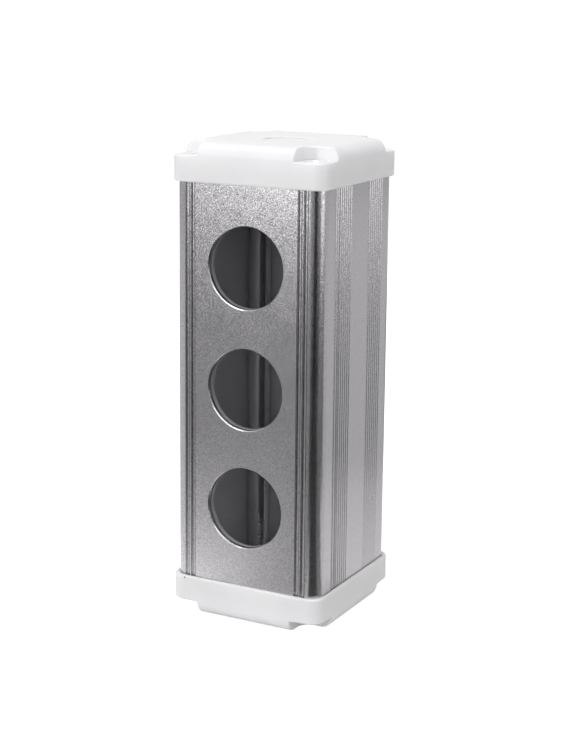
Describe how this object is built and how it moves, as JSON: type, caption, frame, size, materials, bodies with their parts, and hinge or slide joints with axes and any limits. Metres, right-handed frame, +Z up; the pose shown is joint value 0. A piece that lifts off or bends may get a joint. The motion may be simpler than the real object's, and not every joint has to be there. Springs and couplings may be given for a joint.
{
  "type": "pushbutton box",
  "caption": "Upright empty box for pushbuttons: ribbed aluminium extrusions with round button holes in the front, closed by white moulded end caps.",
  "frame": {"origin": "middle of the plane that the bottom cap stands on", "axes": "+Z up along the extrusions, -Y out of the front with the button holes, +X to the right seen from the front"},
  "size_m": [0.052, 0.052, 0.1472],
  "materials": {
    "aluminium": "sand-blasted and anodised, satin",
    "white_plastic": "moulded, smooth satin",
    "black_rubber": "matte",
    "zinc": "zinc plated"
  },
  "bodies": {
    "root": {"front_cover": "aluminium", "rear_body": "aluminium", "top_cap": "white_plastic", "bottom_cap": "white_plastic", "top_gasket": "black_rubber", "bottom_gasket": "black_rubber", "top_cap_screws": "zinc", "bottom_cap_screws": "zinc"}
  },
  "joints": []
}
